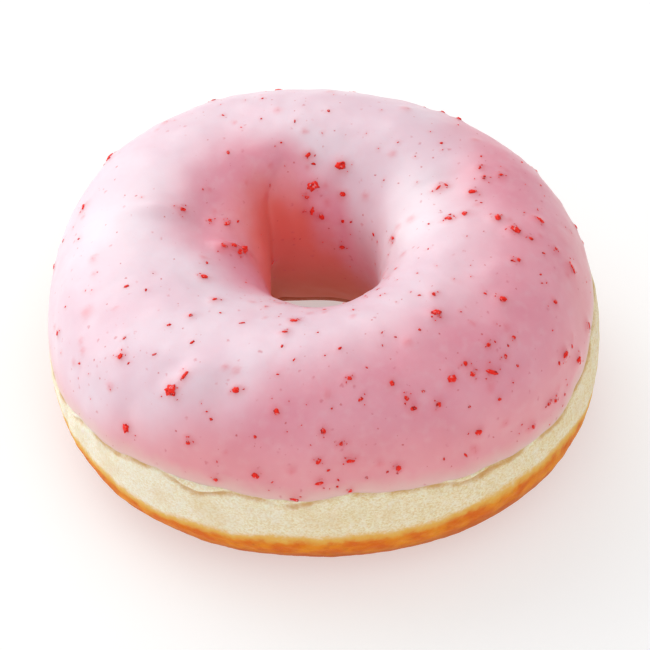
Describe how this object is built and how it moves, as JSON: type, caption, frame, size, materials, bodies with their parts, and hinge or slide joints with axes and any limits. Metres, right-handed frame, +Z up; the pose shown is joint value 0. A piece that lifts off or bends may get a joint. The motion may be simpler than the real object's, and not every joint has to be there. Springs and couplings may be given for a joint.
{
  "type": "ring doughnut",
  "caption": "Iced ring doughnut: a fried yeast dough ring with glossy strawberry icing and freeze-dried strawberry pieces.",
  "frame": {"origin": "centre of the ring's flat base, on the surface it rests on", "axes": "+Z up through the hole; the icing stops lowest at the left, -X, and highest at the right, +X"},
  "size_m": [0.0958, 0.0913, 0.0421],
  "materials": {
    "dough": "soft fried crumb, pale at the side and golden at the base",
    "icing": "glossy set sugar icing",
    "berry": "dry fruit flakes"
  },
  "bodies": {
    "root": {"fried_dough_ring": "dough", "strawberry_icing": "icing", "berry_piece_01": "berry", "berry_piece_02": "berry", "berry_piece_03": "berry", "berry_piece_04": "berry", "berry_piece_05": "berry", "berry_piece_06": "berry", "berry_piece_07": "berry", "berry_piece_08": "berry", "berry_piece_09": "berry", "berry_piece_10": "berry", "berry_piece_11": "berry", "berry_piece_12": "berry", "berry_piece_13": "berry", "berry_piece_14": "berry", "berry_piece_15": "berry", "berry_piece_16": "berry", "berry_piece_17": "berry", "berry_piece_18": "berry", "berry_piece_19": "berry", "berry_piece_20": "berry", "berry_piece_21": "berry", "berry_piece_22": "berry", "berry_piece_23": "berry", "berry_piece_24": "berry", "berry_piece_25": "berry", "berry_piece_26": "berry", "berry_piece_27": "berry", "berry_piece_28": "berry", "berry_piece_29": "berry", "berry_piece_30": "berry", "berry_piece_31": "berry", "berry_piece_32": "berry", "berry_piece_33": "berry", "berry_piece_34": "berry", "berry_piece_35": "berry", "berry_piece_36": "berry", "berry_piece_37": "berry", "berry_piece_38": "berry", "berry_piece_39": "berry", "berry_piece_40": "berry", "berry_piece_41": "berry", "berry_piece_42": "berry"}
  },
  "joints": []
}
